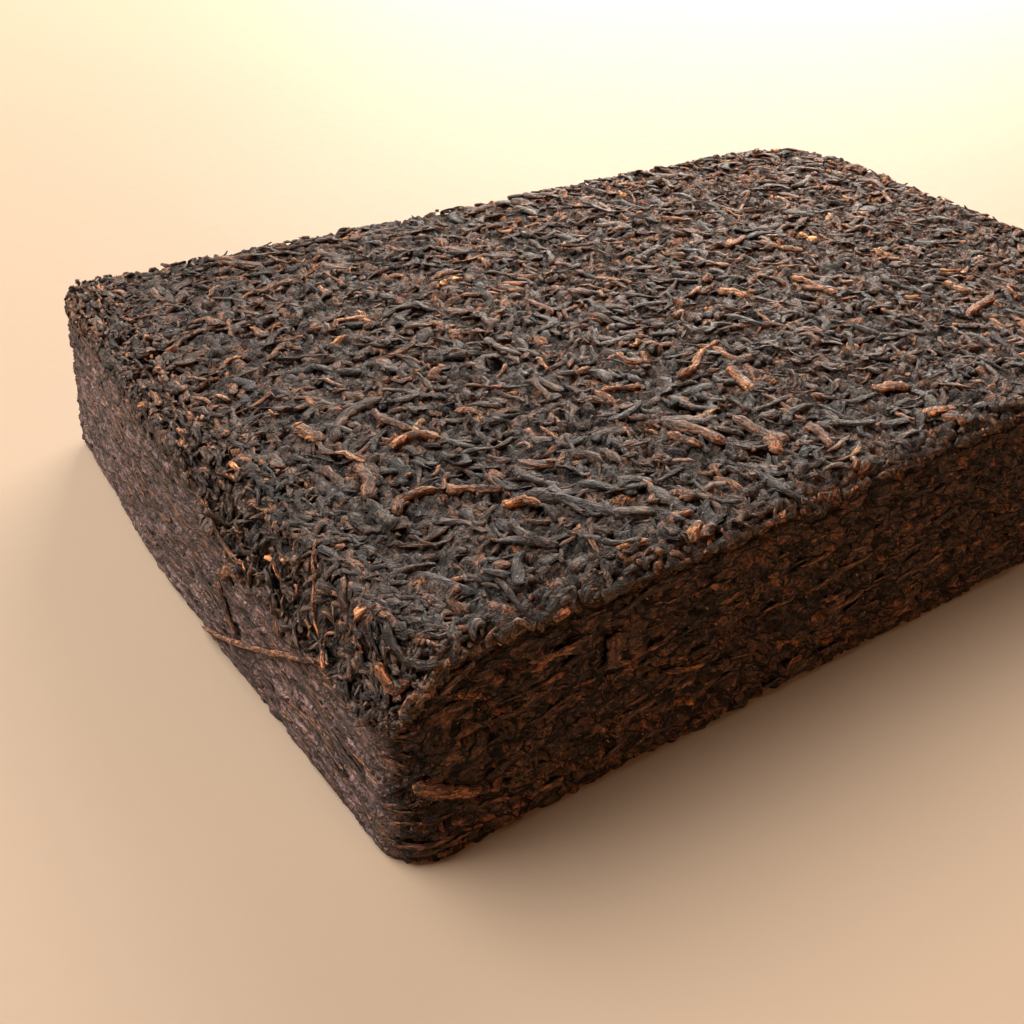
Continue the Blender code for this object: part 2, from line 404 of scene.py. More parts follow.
class Socket:
    """An output of a shader node that can be used in arithmetic."""

    def __init__(self, recipe, link):
        self.recipe = recipe
        self.link = link

    def math(self, operation, first, second):
        return self.recipe.node("ShaderNodeMath", {"operation": operation}, {0: first, 1: second})

    def __add__(self, other):
        return self.math("ADD", self, other)

    __radd__ = __add__

    def __sub__(self, other):
        return self.math("SUBTRACT", self, other)

    def __rsub__(self, other):
        return self.math("SUBTRACT", other, self)

    def __mul__(self, other):
        return self.math("MULTIPLY", self, other)

    __rmul__ = __mul__

    def between(self, start, end):
        """0 below start, 1 above end, eased in between."""
        settings = {"interpolation_type": "SMOOTHSTEP"}
        return self.recipe.node("ShaderNodeMapRange", settings, {0: self, 1: start, 2: end})


class Recipe:
    """One finish, built up node by node."""

    def __init__(self, name, sheen=0.5):
        self.material = bpy.data.materials.new(name)
        self.material.use_nodes = True
        self.tree = self.material.node_tree
        self.shader = self.tree.nodes["Principled BSDF"]
        self.shader.inputs["Specular IOR Level"].default_value = sheen

    def node(self, kind, settings, values, output=0):
        """A node of a kind, its settings made first, then its values or links."""
        made = self.tree.nodes.new(kind)
        for key, value in settings.items():
            setattr(made, key, value)
        for key, value in values.items():
            if isinstance(value, Socket):
                self.tree.links.new(value.link, made.inputs[key])
            else:
                made.inputs[key].default_value = value
        return Socket(self, made.outputs[output])

    def tone(self, name):
        """A value kept on the mesh."""
        return self.node("ShaderNodeAttribute", {"attribute_name": name}, {}, "Fac")

    def mottle(self, stretch, detail=3.0, roughness=0.55, warp=0.0):
        """Soft random values that follow the grain kept on the mesh."""
        return self.noise(self.grain(*stretch), 1.0, detail, roughness, warp)

    def vector(self, operation, first, key, second):
        """Two vectors, or a vector and a size, worked into one."""
        return self.node("ShaderNodeVectorMath", {"operation": operation}, {0: first, key: second})

    def grain(self, *stretch):
        """The coordinates kept on the mesh, scaled along each of their directions."""
        kept = self.node("ShaderNodeAttribute", {"attribute_name": "grain"}, {}, "Vector")
        return self.vector("MULTIPLY", kept, 1, stretch)

    def noise(self, place, scale, detail=3.0, roughness=0.55, warp=0.0):
        """Soft random values round a half."""
        values = {"Vector": place, "Scale": scale, "Detail": detail, "Roughness": roughness}
        return self.node("ShaderNodeTexNoise", {}, {**values, "Distortion": warp}, 0)

    def cells(self, place, scale, output, feature="F1"):
        """Random cells: their distance or their colour."""
        values = {"Vector": place, "Scale": scale}
        return self.node("ShaderNodeTexVoronoi", {"feature": feature}, values, output)

    def channel(self, colour, number):
        """One channel of a colour."""
        return self.node("ShaderNodeSeparateColor", {}, {0: colour}, number)

    def warped(self, place, scale, reach):
        """Coordinates pushed about by a soft noise."""
        push = self.node("ShaderNodeTexNoise", {}, {"Vector": place, "Scale": scale, "Detail": 2.0}, 1)
        middle = self.vector("SUBTRACT", push, 1, (0.5, 0.5, 0.5))
        shift = self.vector("SCALE", middle, "Scale", reach)
        return self.vector("ADD", place, 1, shift)

    def ramp(self, value, stops):
        """Colours along a value."""
        colours = self.node("ShaderNodeValToRGB", {}, {0: value})
        elements = colours.link.node.color_ramp.elements
        for number, (place, colour) in enumerate(stops):
            stop = elements[number] if number < 2 else elements.new(place)
            stop.position = place
            stop.color = (*colour, 1.0)
        return colours

    def mix(self, part, first, second):
        """Two colours mixed."""
        return self.node("ShaderNodeMix", {"data_type": "RGBA"}, {0: part, 6: first, 7: second}, 2)

    def dim(self, colour, value):
        """A colour made darker or lighter by a value."""
        return self.vector("SCALE", colour, "Scale", value)

    def finish(self, colour, roughness, height, depth, strength=1.0):
        """Feed the shader and hand over the material."""
        bump = {"Strength": strength, "Distance": depth * MM, "Height": height}
        bump = self.node("ShaderNodeBump", {}, bump)
        for key, value in (("Base Color", colour), ("Roughness", roughness), ("Normal", bump)):
            self.tree.links.new(value.link, self.shader.inputs[key])
        return self.material


CHARCOAL = (0.034, 0.025, 0.021)
SOOT_BROWN = (0.074, 0.044, 0.030)
UMBER = (0.150, 0.070, 0.040)
RUSSET = (0.310, 0.118, 0.044)
AMBER = (0.540, 0.250, 0.095)
LEAF_STOPS = [(0.0, CHARCOAL), (0.30, SOOT_BROWN), (0.52, UMBER), (0.78, RUSSET), (1.0, AMBER)]
# Colour of the tiny pale specks: partly dust, partly painted glints.
DUST_AND_GLINT = (0.62, 0.50, 0.40)
ROSY_BROWN = (0.276, 0.174, 0.163)
SPECK_PITCH = 1.15


def creases(recipe, stretch, thin, thick):
    """Thin wavy folds: 1 along the lines where a soft noise crosses its middle, 0 between them."""
    noise = recipe.mottle(stretch, 3.0, 0.6, 0.6)
    off = recipe.node("ShaderNodeMath", {"operation": "ABSOLUTE"}, {0: noise - 0.5})
    return 1.0 - off.between(thin, thick)


def dust_and_glint_specks(recipe, colour, strength):
    """A colour with a few tiny pale specks on it: partly pale dust, partly painted glints of sparkle."""
    near = recipe.cells(recipe.grain(1.0, 1.0, 1.0), SPECK_PITCH, "Distance")
    return recipe.mix((1.0 - near.between(0.04, 0.11)) * strength, colour, (*DUST_AND_GLINT, 1.0))


def leaf_finish(name, streak_scale, roughness, gloss_spread, bump_depth):
    """Rolled leaf: folded along its length, part matt and part waxy, with painted shade in its grooves
    and folds, and a few bright specks that are partly painted glints.
    """
    recipe = Recipe(name, 0.32)
    warmth = recipe.tone("warmth")
    light = recipe.tone("light")
    streaks = recipe.mottle((0.4, streak_scale, streak_scale), 2.0, 0.55, 0.5)
    streaks = streaks.between(0.34, 0.66)
    patches = recipe.mottle((0.5, 0.7, 0.7))
    fine = recipe.mottle((1.4, 2.4, 2.4), 3.0, 0.65).between(0.3, 0.7)
    folds = creases(recipe, (0.7, 1.6, 1.6), 0.006, 0.05)
    shift = warmth + (patches - 0.5) * 0.42 + (streaks - 0.5) * 0.14
    colour = recipe.ramp(shift, LEAF_STOPS)
    # Painted shade: darker where the streaks and fine dents sink in the bump and along the folds, where
    # shade falls in the grooves.
    shade = (0.45 + light) * (0.42 + 0.9 * streaks) * (0.5 + 0.8 * fine) * (1.0 - 0.8 * folds)
    colour = dust_and_glint_specks(recipe, recipe.dim(colour, shade), 0.4)
    rough_value = roughness + (fine - 0.5) * gloss_spread + (patches - 0.5) * gloss_spread
    height = streaks * 0.45 + fine * 0.25 - folds * 0.5
    return recipe.finish(colour, rough_value, height, bump_depth)


def block_finish(name, bump_depth):
    """Leaf pressed into a mass: tones kept on the mesh, broken up by wrinkles and crumbs, with painted
    shade in its wrinkles, dents, hollows and folds.
    """
    recipe = Recipe(name, 0.35)
    warmth = recipe.tone("warmth")
    light = recipe.tone("light")
    hollow_shade = recipe.tone("hollow_shade")
    wrinkles = recipe.mottle((1.0, 1.0, 0.6), 3.0, 0.6, 1.4).between(0.3, 0.7)
    patches = recipe.mottle((0.25, 0.3, 0.3))
    fine = recipe.mottle((2.1, 2.1, 1.0), 3.0, 0.65, 0.6).between(0.3, 0.7)
    folds = creases(recipe, (0.8, 0.8, 0.3), 0.008, 0.05)
    shift = warmth + (patches - 0.5) * 0.5 + (wrinkles - 0.5) * 0.2
    colour = recipe.ramp(shift, LEAF_STOPS)
    # Painted shade: darker where the wrinkles and fine dents sink in the bump, in the hollows and along
    # the folds, where shade falls.
    shade = (0.55 + 0.8 * light) * (0.5 + 0.8 * wrinkles) * (0.5 + 0.8 * fine)
    shade = shade * (1.0 - 0.8 * hollow_shade) * (1.0 - 0.85 * folds)
    colour = dust_and_glint_specks(recipe, recipe.dim(colour, shade), 0.35)
    rough_value = 0.62 + (fine - 0.5) * 0.4
    height = wrinkles * 0.5 + fine * 0.3 - folds * 0.6
    return recipe.finish(colour, rough_value, height, bump_depth)


def wall_finish():
    """Leaf seen edge on: flakes with curling cracks darkened as painted shade, crushed to fine fibres on
    the short end.
    """
    recipe = Recipe("layered_leaf", 0.3)
    warmth = recipe.tone("warmth")
    light = recipe.tone("light")
    hollow_shade = recipe.tone("hollow_shade")
    crushed = recipe.tone("crushed")
    flat = recipe.warped(recipe.grain(0.34, 0.62, 0.62), 0.55, 1.7)
    edge = recipe.cells(flat, 1.0, "Distance", "DISTANCE_TO_EDGE")
    broken = recipe.mottle((0.3, 0.45, 0.45), 2.0)
    outline_crack = (1.0 - edge.between(0.025, 0.085)) * broken.between(0.35, 0.46)
    swirls = creases(recipe, (0.42, 0.85, 0.85), 0.005, 0.024)
    crack = swirls.math("MAXIMUM", outline_crack, swirls * 0.9)
    crack = crack * (1.0 - 0.35 * crushed)
    lumps = recipe.mottle((1.1, 1.7, 1.7), 3.0, 0.6, 0.8).between(0.3, 0.7)
    streaks = recipe.mottle((0.2, 1.5, 1.5), 4.0, 0.62, 0.5).between(0.34, 0.66)
    bands = lumps * (1.0 - crushed) + streaks * crushed
    patches = recipe.mottle((0.12, 0.3, 0.3))
    fine = recipe.mottle((2.6, 3.2, 3.2), 3.0, 0.65).between(0.3, 0.7)
    flake = recipe.cells(flat, 1.0, "Color")
    grit = recipe.cells(recipe.warped(recipe.grain(2.0, 2.9, 2.9), 1.0, 0.6), 1.0, "Color")
    grit_value = recipe.channel(grit, 0)
    flake_value = recipe.channel(flake, 0)
    flake_light = recipe.channel(flake, 1)
    shift = warmth + (patches - 0.5) * 0.3 + (bands - 0.5) * 0.12
    shift = shift + flake_value.between(0.88, 0.96) * 0.12 * (1.0 - crushed)
    colour = recipe.ramp(shift, LEAF_STOPS)
    colour = recipe.mix(crushed * 0.7, colour, (*ROSY_BROWN, 1.0))
    # Painted shade: darker where the bands, fine dents and grit sink in the bump and in the hollows, and
    # nearly black in the cracks, where shade falls.
    shade = (0.6 + 0.5 * light) * (0.4 + 0.95 * bands) * (0.4 + 0.95 * fine) * (0.75 + 0.5 * flake_light)
    shade = shade * (1.0 - 0.8 * hollow_shade) * (1.0 - 0.97 * crack) * (0.68 + 0.64 * grit_value)
    shade = shade * (1.0 + 0.22 * crushed)
    colour = dust_and_glint_specks(recipe, recipe.dim(colour, shade), 0.5)
    rough_value = 0.66 + (fine - 0.5) * 0.4
    height = bands * 0.4 + fine * 0.3 + grit_value * 0.15 - crack * 0.9
    return recipe.finish(colour, rough_value, height, 0.5)


def floor_finish():
    """A plain pale table top, with a slight unevenness in its colour."""
    recipe = Recipe("pale_table")
    place = recipe.node("ShaderNodeTexCoord", {}, {}, "Object")
    cloud = recipe.noise(place, 3.0, 3.0)
    fine = recipe.noise(place, 420.0, 2.0)
    colour = recipe.ramp(cloud, [(0.3, (0.40, 0.295, 0.205)), (0.7, (0.43, 0.32, 0.225))])
    return recipe.finish(colour, 0.62 + 0.16 * fine, fine, 0.05, 0.3)


# ---- pressed masses

def stamp_leaves(rng, height, warmth, light, step, count, length, width, levels, flat, wobble):
    """Flat leaves pressed one over another into grids of height, warmth and light.

    step is the spacing of the grid along its rows and columns; flat is how far their directions keep to
    the first axis, and wobble is a grid that makes their edges uneven.
    """
    rows, columns = height.shape
    for _ in range(count):
        middle = rng.random(2) * (rows * step[0], columns * step[1])
        half_length = rng.uniform(*length) / 2.0
        half_width = rng.uniform(*width) / 2.0
        angle = rng.uniform(-1.0, 1.0) * math.pi / 2.0 * flat
        bend = rng.normal(0.0, 0.5) / half_length
        level = rng.uniform(*levels)
        heat = rng.beta(1.4, 3.4)
        bright = rng.uniform(0.2, 1.0)
        phase = rng.uniform(0.0, 6.28)
        reach = half_length + 1.0
        first = np.maximum(0, ((middle - reach) / step).astype(int))
        last = np.minimum((rows, columns), ((middle + reach) / step).astype(int) + 2)
        window = (slice(first[0], last[0]), slice(first[1], last[1]))
        off_x = (np.arange(first[0], last[0]) * step[0] - middle[0])[:, None]
        off_y = (np.arange(first[1], last[1]) * step[1] - middle[1])[None, :]
        along = off_x * math.cos(angle) + off_y * math.sin(angle)
        across = off_y * math.cos(angle) - off_x * math.sin(angle)
        across = across - bend * along * along * 0.5 + wobble[window]
        taper = 1.0 - (along / half_length) ** 2 * 0.55
        inside = smooth((half_width * taper - np.abs(across)) / 0.4 + 0.5)
        inside = inside * smooth((half_length - np.abs(along)) / 0.6 + 0.5)
        dome = -0.28 * (across / half_width) ** 2 + 0.05 * np.sin(across * 6.5 + phase)
        height[window] = blend(height[window], level + np.maximum(dome, -0.4), inside)
        warmth[window] = blend(warmth[window], heat, inside)
        light[window] = blend(light[window], bright, inside)


def hollows(height, full_depth):
    """How deep each point lies under the average of its surroundings, 0 to 1; the finishes darken by it
    as painted shade in the hollows.
    """
    around = height
    for _ in range(3):
        padded = np.pad(around, 1, mode="edge")
        rows = (padded[:-2] + padded[1:-1] + padded[2:]) / 3.0
        around = (rows[:, :-2] + rows[:, 1:-1] + rows[:, 2:]) / 3.0
    return smooth((around - height) / full_depth)


def grid_quads(number):
    """Quads between the neighbours in a grid of point numbers."""
    quads = columns_of(number[:-1, :-1], number[1:, :-1], number[1:, 1:], number[:-1, 1:])
    return quads.reshape(-1, 4)


def plan_map(points, middle, corner, size):
    """Bake map corners for a flat cap: its plan, fitted to a rectangle of the map."""
    u = corner[0] + size[0] * (points[:, 0] / LENGTH + middle)
    v = corner[1] + size[1] * (points[:, 1] / WIDTH + middle)
    return columns_of(u, v)


TOP_PITCH = 0.42     # spacing of the grid of points
SKIRT = 1.3          # how far the slab runs down past the rims
BLOCK_FOOT = 11.0    # height of the slab's hidden underside


def make_top(rng):
    """The pressed top: a solid slab whose upper side is a jumble of leaves pressed flat."""
    rows = int(round(2.0 * (REACH_X + SKIRT) / TOP_PITCH)) + 1
    columns = int(round(2.0 * (REACH_Y + SKIRT) / TOP_PITCH)) + 1
    p_line = np.linspace(-REACH_X - SKIRT, REACH_X + SKIRT, rows)
    q_line = np.linspace(-REACH_Y - SKIRT, REACH_Y + SKIRT, columns)
    p, q = np.meshgrid(p_line, q_line, indexing="ij")
    height = -0.75 + 0.3 * rough(p / 3.0, q / 3.0, 11)
    warmth = np.full(p.shape, 0.25)
    light = np.full(p.shape, 0.5)
    wobble = 0.35 * rough(p / 1.6, q / 1.6, 23, 2)
    step = (TOP_PITCH, TOP_PITCH)
    stamp_leaves(rng, height, warmth, light, step, 1500, (3, 13), (1.2, 4.2), (-0.8, 0.0), 1.0, wobble)
    stamp_leaves(rng, height, warmth, light, step, 3200, (1.6, 7), (0.8, 2.0), (-0.6, 0.16), 1.0, wobble)
    place, out, torn = skin_frame(p, q)
    height = height + torn * (0.9 * rough(p / 1.5, q / 1.5, 31, 3) - 0.1)
    holes = smooth((ripple(p / 1.9, q / 1.9, 41) - 0.42) / 0.16)
    height = height - 1.3 * holes * smooth(ripple(p / 14.0, q / 14.0, 43) + 0.6)
    folds = np.abs(rough(p / 1.9 + wobble, q / 1.9, 53, 2))
    height = height - 0.4 * (1.0 - smooth(folds / 0.24)) + 0.12 * rough(p / 0.9, q / 0.9, 47, 2)
    edge = np.minimum(REACH_X + SKIRT - np.abs(p), REACH_Y + SKIRT - np.abs(q))
    height = np.minimum(height, 0.12) - 1.1 * (1.0 - smooth(edge / 2.2))
    points = place + out * height[..., None]
    # How deep the top lies in its hollows, less on the torn places; the finish darkens by it as painted
    # shade.
    hollow_shade = hollows(height, 0.55) * (1.0 - 0.35 * torn)
    # Painted light: the top is made lighter and warmer towards the far corner, standing in for the fall
    # of the light and the sheen there.
    far = far_part(p, q)
    light = light + 0.9 * torn + 0.45 * far
    warmth = warmth + 0.22 * far - 0.08 * torn
    number = np.arange(rows * columns).reshape(rows, columns)
    ring = np.concatenate([number[0, :-1], number[:-1, -1], number[-1, :0:-1], number[:0:-1, 0]])
    top_quads = grid_quads(number)
    top_points = points.reshape(-1, 3)
    foot = CENTRING + (top_points[ring] - CENTRING) * np.array([0.975, 0.965, 1.0])
    foot[:, 2] = BLOCK_FOOT
    all_points = np.concatenate([top_points, foot])
    base = len(top_points)
    here = np.arange(len(ring))
    after = np.roll(here, -1)
    skirt = columns_of(ring, ring[after], base + after, base + here)
    cap = (base + here)[::-1]
    u = 0.01 + 0.98 * (p - p[0, 0]) / (p[-1, 0] - p[0, 0])
    v = 0.01 + 0.64 * (q - q[0, 0]) / (q[0, -1] - q[0, 0])
    grid_uv = columns_of(u, v).reshape(-1, 2)
    ring_u = 0.01 + 0.98 * here / len(ring)
    after_u = 0.01 + 0.98 * (here + 1) / len(ring)
    skirt_u = columns_of(ring_u, after_u, after_u, ring_u)
    skirt_uv = columns_of(skirt_u, np.array([0.70, 0.70, 0.67, 0.67])).reshape(-1, 2)
    foot_uv = plan_map(foot, 0.5, (0.01, 0.72), (0.4, 0.26))
    corners = np.concatenate([grid_uv[top_quads.ravel()], skirt_uv, foot_uv[::-1]])
    spare = np.zeros(len(ring))
    tones = {"warmth": warmth, "light": light, "hollow_shade": hollow_shade}
    tones = {tone: np.concatenate([values.ravel(), spare]) for tone, values in tones.items()}
    tones["grain"] = np.concatenate([columns_of(p, q, height).reshape(-1, 3), foot])
    quads = np.concatenate([top_quads, skirt])
    finish = block_finish("pressed_leaf_mass", 0.35)
    return make_mesh("pressed_top", all_points, quads, [cap], corners, finish, tones)


WALL_PITCH = 0.42
WALL_ROWS = 92
MAP_BANDS = 4
CURL = [0.3, 0.7, 1.2, 1.8]     # steps over the rim by which the walls turn in under the slab


def make_walls(rng):
    """The pressed walls with the flat base: layers of leaf seen edge on."""
    count = int(round(ROUND_TRIP / WALL_PITCH))
    s_line = np.arange(count) * ROUND_TRIP / count
    fine_side = (s_line < TURNS[1]) | (s_line > TURNS[3])
    kept = fine_side | (np.arange(count) % 3 != 0)
    top = wall_top(s_line)
    level = np.linspace(0.0, 1.0, WALL_ROWS)
    s = s_line[:, None] + 0.0 * level[None, :]
    z = top[:, None] * level[None, :]
    crushed = smooth((s - TURNS[3] - 1.0) / 4.0) * smooth((ROUND_TRIP - s) / 3.0)
    crushed = np.maximum(crushed, 0.35 * smooth((s - TURNS[1]) / 4.0) * smooth((TURNS[2] - s) / 4.0))
    height = -0.02 + 0.28 * rough(s / 9.0, z / 3.6, 61)
    warmth = np.full(s.shape, 0.36)
    light = np.full(s.shape, 0.5)
    wobble = 0.5 * rough(s / 2.6, z / 1.6, 67, 2)
    step = (ROUND_TRIP / count, THICKNESS / (WALL_ROWS - 1))
    stamp_leaves(rng, height, warmth, light, step, 1500, (3, 9), (1.2, 3.4), (-0.35, 0.2), 0.4, wobble)
    stamp_leaves(rng, height, warmth, light, step, 2600, (1.5, 5), (0.6, 1.8), (-0.3, 0.22), 0.6, wobble)
    sway = z / 2.3 + 2.6 * rough(s / 5.0, z / 2.8, 71, 3)
    slope_s, slope_z = np.gradient(sway, step[0], step[1])
    line = np.abs(np.mod(sway + 0.5, 1.0) - 0.5) / np.maximum(np.hypot(slope_s, slope_z), 0.25)
    broken = smooth((rough(s / 4.5, z / 2.5, 73, 2) + 0.02) / 0.3)
    groove = np.exp(-((line / 0.24) ** 2)) * broken
    lumps = 0.17 * rough(s / 1.7, z / 0.9, 79, 3)
    height = height * blend(1.0, 0.62, crushed) + lumps * blend(1.0, 0.8, crushed)
    height = height - 0.55 * groove * blend(1.0, 0.3, crushed)
    pits = smooth((ripple(s / 2.6, z / 1.3, 83) - 0.45) / 0.14)
    height = height - 0.5 * pits * blend(1.0, 0.5, crushed)
    warmth = warmth * 0.75 + 0.12
    height = np.minimum(height, 0.42)
    place, out = wall_frame(s, z)
    points = place + out * height[..., None]
    # How deep the walls lie in their hollows; the finish darkens by it as painted shade.
    hollow_shade = hollows(height, 0.4)
    curl_points, curl_grain = [], []
    for arc in CURL:
        inset = inset_on_rim(arc)[0]
        moved = place[:, -1] - out[:, -1] * (inset + 0.25 + 0.2 * arc)
        moved[:, 2] = top + RIM_RADIUS * math.sin(arc / RIM_RADIUS) - 0.25 - 0.35 * arc
        curl_points.append(moved + out[:, -1] * height[:, -1:] * 0.6)
        curl_grain.append(columns_of(s_line, top + arc, 0.0))
    points = np.concatenate([points, np.stack(curl_points, axis=1)], axis=1)[kept]
    grain = np.concatenate([columns_of(s, z, 0.0), np.stack(curl_grain, axis=1)], axis=1)[kept]

    def carried(values):
        rim = np.repeat(values[:, -1:], len(CURL), axis=1)
        return np.concatenate([values, rim], axis=1)[kept].ravel()

    rows, columns = points.shape[:2]
    number = np.arange(rows * columns).reshape(rows, columns)
    quads = grid_quads(np.concatenate([number, number[:1]]))
    base_ring, top_ring = number[::-1, 0], number[:, -1]
    tones = {"warmth": warmth, "light": light, "hollow_shade": hollow_shade, "crushed": crushed}
    tones = {tone: carried(values) for tone, values in tones.items()}
    tones["grain"] = grain.reshape(-1, 3)
    start = s_line[kept] / ROUND_TRIP * MAP_BANDS
    end = np.append(start[1:], MAP_BANDS)
    band = np.floor(start)
    up = 0.01 + 0.13 * np.arange(columns) / (columns - 1)

    def on_map(turn):
        return columns_of(0.01 + 0.96 * turn[:, None], band[:, None] * 0.15 + up)

    here = on_map(start - band)
    there = on_map(end - band)
    side_uv = np.stack([here[:, :-1], there[:, :-1], there[:, 1:], here[:, 1:]], axis=2).reshape(-1, 2)
    points = points.reshape(-1, 3)
    base_uv = plan_map(points[base_ring], 0.51, (0.01, 0.63), (0.5, 0.33))
    cap_uv = plan_map(points[base_ring], 0.51, (0.53, 0.63), (0.4, 0.26))
    corners = np.concatenate([side_uv, base_uv, cap_uv[::-1]])
    return make_mesh("pressed_walls", points, quads, [base_ring, top_ring], corners, wall_finish(), tones)


# ---- strands on the top

def strand_stations(rings):
    """Places along a strand, -0.5 to 0.5, closer together towards its ends."""
    return 0.5 * np.sin(math.pi * (np.arange(rings) / (rings - 1) - 0.5))


def blunt_ends(stations, sharpness):
    """Width of a strand along its length: full in the middle, closing at its ends."""
    full = np.sqrt(np.maximum(0.0, 1.0 - np.abs(2.0 * stations) ** sharpness))
    return np.maximum(full, 0.12)


def scatter_on_top(rng, count, worn_share):
    """Random places over the unrolled top, with a share of them on the worn shoulder and the chip."""
    p = rng.uniform(-REACH_X - 0.8, REACH_X + 0.8, count)
    q = rng.uniform(-REACH_Y - 0.8, REACH_Y + 0.8, count)
    worn = rng.random(count) < worn_share
    worn_p = -REACH_X + 9.0 * rng.random(count) ** 1.3
    chip = rng.random(count) < 0.22
    chip_q = -REACH_Y + 11.0 * rng.random(count)
    return np.where(worn, worn_p, p), np.where(worn & chip, chip_q, q)


def far_part(p, q):
    """How far a place on the top is from the chipped corner: under 0 near it, 0.6 at the far corner. The
    top's painted light follows it.
    """
    return 0.25 * (p / REACH_X + q / REACH_Y) + 0.1


def rim_heading(rng, p, q, count):
    """Strand directions: any on the open top, mostly along the edge near a rim."""
    heading = rng.uniform(-math.pi, math.pi, count)
    near_long = REACH_Y - np.abs(q) < 5.5
    near_short = REACH_X - np.abs(p) < 5.0 + 3.0 * (p < 0.0)
    follow = rng.random(count) < np.where(near_short, 0.93, 0.72)
    lean = rng.normal(0.0, 0.3, count) * np.where(near_short, 1.6, 1.0)
    heading = np.where(near_long & follow, lean, heading)
    return np.where(near_short & ~near_long & follow, math.pi / 2.0 + lean, heading)


def top_strands(
    rng, name, finish, count, length, width, flatness, sides, rings, heat, depth, worn_share, bend, proud
):
    """Strands of one kind pressed into the top.

    length, width, flatness and depth are the least and the most; heat is the middle and the spread.
    """
    p_middle, q_middle = scatter_on_top(rng, count, worn_share)
    size = rng.random(count) ** 1.4
    full = blend(length[0], length[1], size)
    worn_here = skin(p_middle, q_middle)[1]
    full = np.minimum(full, blend(length[1], 3.2, worn_here))
    near_edge = np.minimum(REACH_X - np.abs(p_middle), REACH_Y - np.abs(q_middle)) < 4.0
    full = full * np.where(REACH_Y - np.abs(q_middle) < 4.5, 0.6, 1.0)
    stations = strand_stations(rings)
    heading = rim_heading(rng, p_middle, q_middle, count)
    hook = np.where(rng.random(count) < 0.14, 2.6, 1.0)
    turn = rng.normal(0.0, bend, count) * hook * np.where(near_edge, 0.5, 1.0)
    wave = rng.normal(0.0, 0.28, count)
    phase = rng.uniform(0.0, 6.28, count)
    way = heading[:, None] + turn[:, None] * stations
    way = way + wave[:, None] * np.sin(8.0 * stations + phase[:, None])
    way = way + np.cumsum(rng.normal(0.0, 0.2, way.shape), axis=1)
    step = np.gradient(stations) * full[:, None]
    p_line = np.cumsum(np.cos(way) * step, axis=1)
    q_line = np.cumsum(np.sin(way) * step, axis=1)
    p_line = (p_line - p_line.mean(axis=1, keepdims=True)) * (1.0 - 0.6 * worn_here[:, None])
    q_line = q_line - q_line.mean(axis=1, keepdims=True)
    flat_place = skin(p_middle[:, None] + p_line, q_middle[:, None] + q_line)[0]
    true_length = np.linalg.norm(np.diff(flat_place, axis=1), axis=-1).sum(axis=1)
    shrink = np.minimum(1.0, full / np.maximum(true_length, 0.1))[:, None]
    p_line = np.clip(p_middle[:, None] + p_line * shrink, -REACH_X - 2.6, REACH_X + 2.6)
    q_line = np.clip(q_middle[:, None] + q_line * shrink, -REACH_Y + 1.4, REACH_Y + 2.0)
    place, out, torn = skin_frame(p_line, q_line)
    torn_here = torn.mean(axis=1)
    half_width = blend(width[0], width[1], rng.random(count) ** 1.2) / 2.0
    swell = 1.0 + 0.14 * np.sin(5.0 * stations + phase[:, None])
    profile = blunt_ends(stations, 14.0) * swell
    half_width = half_width[:, None] * profile * np.clip(rng.normal(1.0, 0.17, profile.shape), 0.5, 1.5)
    half_thick = half_width * rng.uniform(flatness[0], flatness[1], (count, 1))
    sunk = rng.uniform(depth[0], depth[1], count)
    tilt = rng.normal(0.0, 0.35, count) * (1.0 + 1.6 * torn_here)
    arch = rng.normal(0.0, 0.14, count)
    offset = sunk[:, None] + tilt[:, None] * stations + arch[:, None] * np.cos(6.0 * stations)
    offset = offset + torn_here[:, None] * rng.uniform(-0.9, 0.7, (count, 1))
    ceiling = rng.random(count) ** 2.0 * proud + 0.05
    ceiling = ceiling[:, None] + 0.8 * torn - np.minimum(offset, 0.6)
    offset = np.minimum(offset, 0.35 + 0.7 * torn)
    roll = rng.uniform(-0.5, 0.5, (count, 1)) + rng.normal(0.0, 1.6, (count, 1)) * stations
    place = place + out * offset[..., None]
    # Painted light: the strands are made lighter, warmer and more even towards the far corner, standing
    # in for the fall of the light and the sheen there.
    far = far_part(p_middle, q_middle)
    # Painted highlight: strands along the front rim are made lighter and less warm, standing in for the
    # light the crest catches.
    front_rim_highlight = REACH_Y + q_middle < 3.6
    warmth = rng.normal(heat[0], heat[1], count) + 0.22 * far
    warmth = np.clip(warmth - 0.12 * torn_here - 0.1 * front_rim_highlight, 0.0, 1.0)
    light = rng.uniform(0.15, 1.0, count)
    light = blend(light, 0.58, 0.6 * np.maximum(far, 0.0)) + 0.5 * far
    light = light + 1.45 * torn_here + 1.2 * front_rim_highlight
    ceiling = np.maximum(ceiling, 0.08)
    return make_strands(
        name, finish, rng, place, out, half_width, half_thick, roll, ceiling, sides, warmth, light
    )


# ---- leaves on the walls

